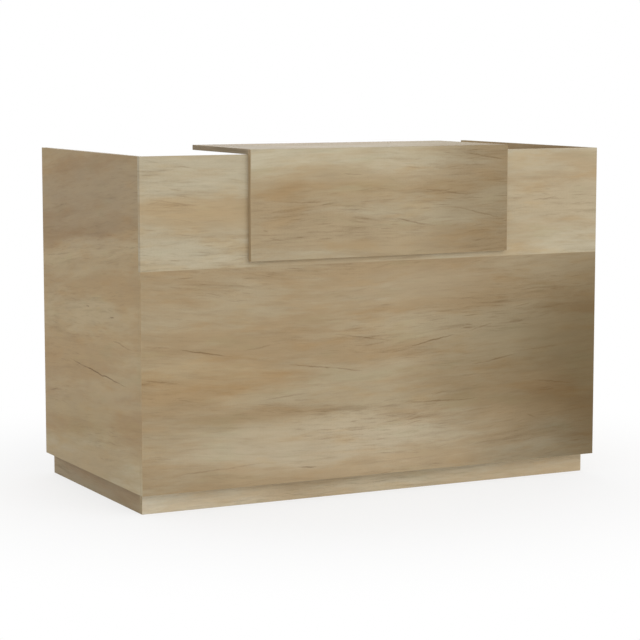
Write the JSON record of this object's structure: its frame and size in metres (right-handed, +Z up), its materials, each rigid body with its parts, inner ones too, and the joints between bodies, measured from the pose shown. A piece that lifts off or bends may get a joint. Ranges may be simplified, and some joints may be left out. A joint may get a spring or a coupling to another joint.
{
  "type": "reception desk",
  "caption": "Free-standing reception desk of oak laminate boards with a raised transaction counter, a recessed plinth, a staff worktop and adjustable feet.",
  "frame": {"origin": "on the floor, at the middle of the desk's overall width and depth", "axes": "+X along the desk to the visitor's right, +Y from the visitors to the staff, +Z up"},
  "size_m": [1.6, 0.851, 1.086],
  "materials": {
    "oak_laminate": "satin laminate with printed oak grain",
    "beech": "planed, unfinished",
    "zinc_steel": "zinc plated",
    "threaded_steel": "zinc plated, threaded",
    "grommet_plastic": "fine moulded texture",
    "foot_plastic": "moulded"
  },
  "bodies": {
    "desk": {"left_end_panel": "oak_laminate", "right_end_panel": "oak_laminate", "lower_front_panel": "oak_laminate", "upper_front_panel": "oak_laminate", "counter_top": "oak_laminate", "counter_front": "oak_laminate", "plinth_front_rail": "oak_laminate", "plinth_left_rail": "oak_laminate", "plinth_right_rail": "oak_laminate", "worktop": "oak_laminate", "base_board": "oak_laminate", "counter_support_left": "oak_laminate", "counter_support_right": "oak_laminate", "worktop_bearer_front": "beech", "worktop_bearer_left": "beech", "worktop_bearer_right": "beech", "front_joint_dowel_1": "beech", "front_joint_dowel_2": "beech", "front_joint_dowel_3": "beech", "front_joint_dowel_4": "beech", "support_foot_dowel_left_1": "beech", "support_foot_dowel_left_2": "beech", "support_foot_dowel_right_1": "beech", "support_foot_dowel_right_2": "beech", "support_head_dowel_left_1": "beech", "support_head_dowel_left_2": "beech", "support_head_dowel_right_1": "beech", "support_head_dowel_right_2": "beech", "foot_block_front_left": "beech", "foot_block_front_right": "beech", "foot_block_back_left": "beech", "foot_block_back_right": "beech", "corner_bracket_left_low": "zinc_steel", "corner_bracket_left_middle": "zinc_steel", "corner_bracket_left_high": "zinc_steel", "corner_bracket_right_low": "zinc_steel", "corner_bracket_right_middle": "zinc_steel", "corner_bracket_right_high": "zinc_steel", "counter_front_screw_1": "zinc_steel", "counter_front_screw_2": "zinc_steel", "counter_front_screw_3": "zinc_steel", "counter_front_screw_4": "zinc_steel", "grommet_sleeve_left": "grommet_plastic", "grommet_sleeve_right": "grommet_plastic"},
    "cap_left": {"grommet_cap_left": "grommet_plastic"},
    "cap_right": {"grommet_cap_right": "grommet_plastic"},
    "foot_front_left": {"foot_pad_front_left": "foot_plastic"},
    "stem_front_left": {"foot_stem_front_left": "threaded_steel"},
    "foot_front_right": {"foot_pad_front_right": "foot_plastic"},
    "stem_front_right": {"foot_stem_front_right": "threaded_steel"},
    "foot_back_left": {"foot_pad_back_left": "foot_plastic"},
    "stem_back_left": {"foot_stem_back_left": "threaded_steel"},
    "foot_back_right": {"foot_pad_back_right": "foot_plastic"},
    "stem_back_right": {"foot_stem_back_right": "threaded_steel"}
  },
  "joints": [
    {"name": "cap_left_turn", "type": "hinge", "parent": "desk", "child": "cap_left", "pos_m": [-0.54, -0.3035, 0.725], "axis": [0, 0, 1], "continuous": true},
    {"name": "cap_right_turn", "type": "hinge", "parent": "desk", "child": "cap_right", "pos_m": [0.54, -0.3035, 0.725], "axis": [0, 0, 1], "continuous": true},
    {"name": "foot_front_left_travel", "type": "slide", "parent": "desk", "child": "foot_front_left", "axis": [0, 0, 1], "range_m": [-0.012, 0]},
    {"name": "stem_front_left_turn", "type": "hinge", "parent": "foot_front_left", "child": "stem_front_left", "pos_m": [-0.746, -0.3265, 0.03], "axis": [0, 0, 1], "range_deg": [-2880, 0]},
    {"name": "foot_front_right_travel", "type": "slide", "parent": "desk", "child": "foot_front_right", "axis": [0, 0, 1], "range_m": [-0.012, 0]},
    {"name": "stem_front_right_turn", "type": "hinge", "parent": "foot_front_right", "child": "stem_front_right", "pos_m": [0.746, -0.3265, 0.03], "axis": [0, 0, 1], "range_deg": [-2880, 0]},
    {"name": "foot_back_left_travel", "type": "slide", "parent": "desk", "child": "foot_back_left", "axis": [0, 0, 1], "range_m": [-0.012, 0]},
    {"name": "stem_back_left_turn", "type": "hinge", "parent": "foot_back_left", "child": "stem_back_left", "pos_m": [-0.746, 0.3625, 0.03], "axis": [0, 0, 1], "range_deg": [-2880, 0]},
    {"name": "foot_back_right_travel", "type": "slide", "parent": "desk", "child": "foot_back_right", "axis": [0, 0, 1], "range_m": [-0.012, 0]},
    {"name": "stem_back_right_turn", "type": "hinge", "parent": "foot_back_right", "child": "stem_back_right", "pos_m": [0.746, 0.3625, 0.03], "axis": [0, 0, 1], "range_deg": [-2880, 0]}
  ],
  "couplings": [
    {"joint": "stem_front_left_turn", "follows": "foot_front_left_travel", "rad_per_m": 4188.8},
    {"joint": "stem_front_right_turn", "follows": "foot_front_right_travel", "rad_per_m": 4188.8},
    {"joint": "stem_back_left_turn", "follows": "foot_back_left_travel", "rad_per_m": 4188.8},
    {"joint": "stem_back_right_turn", "follows": "foot_back_right_travel", "rad_per_m": 4188.8}
  ]
}
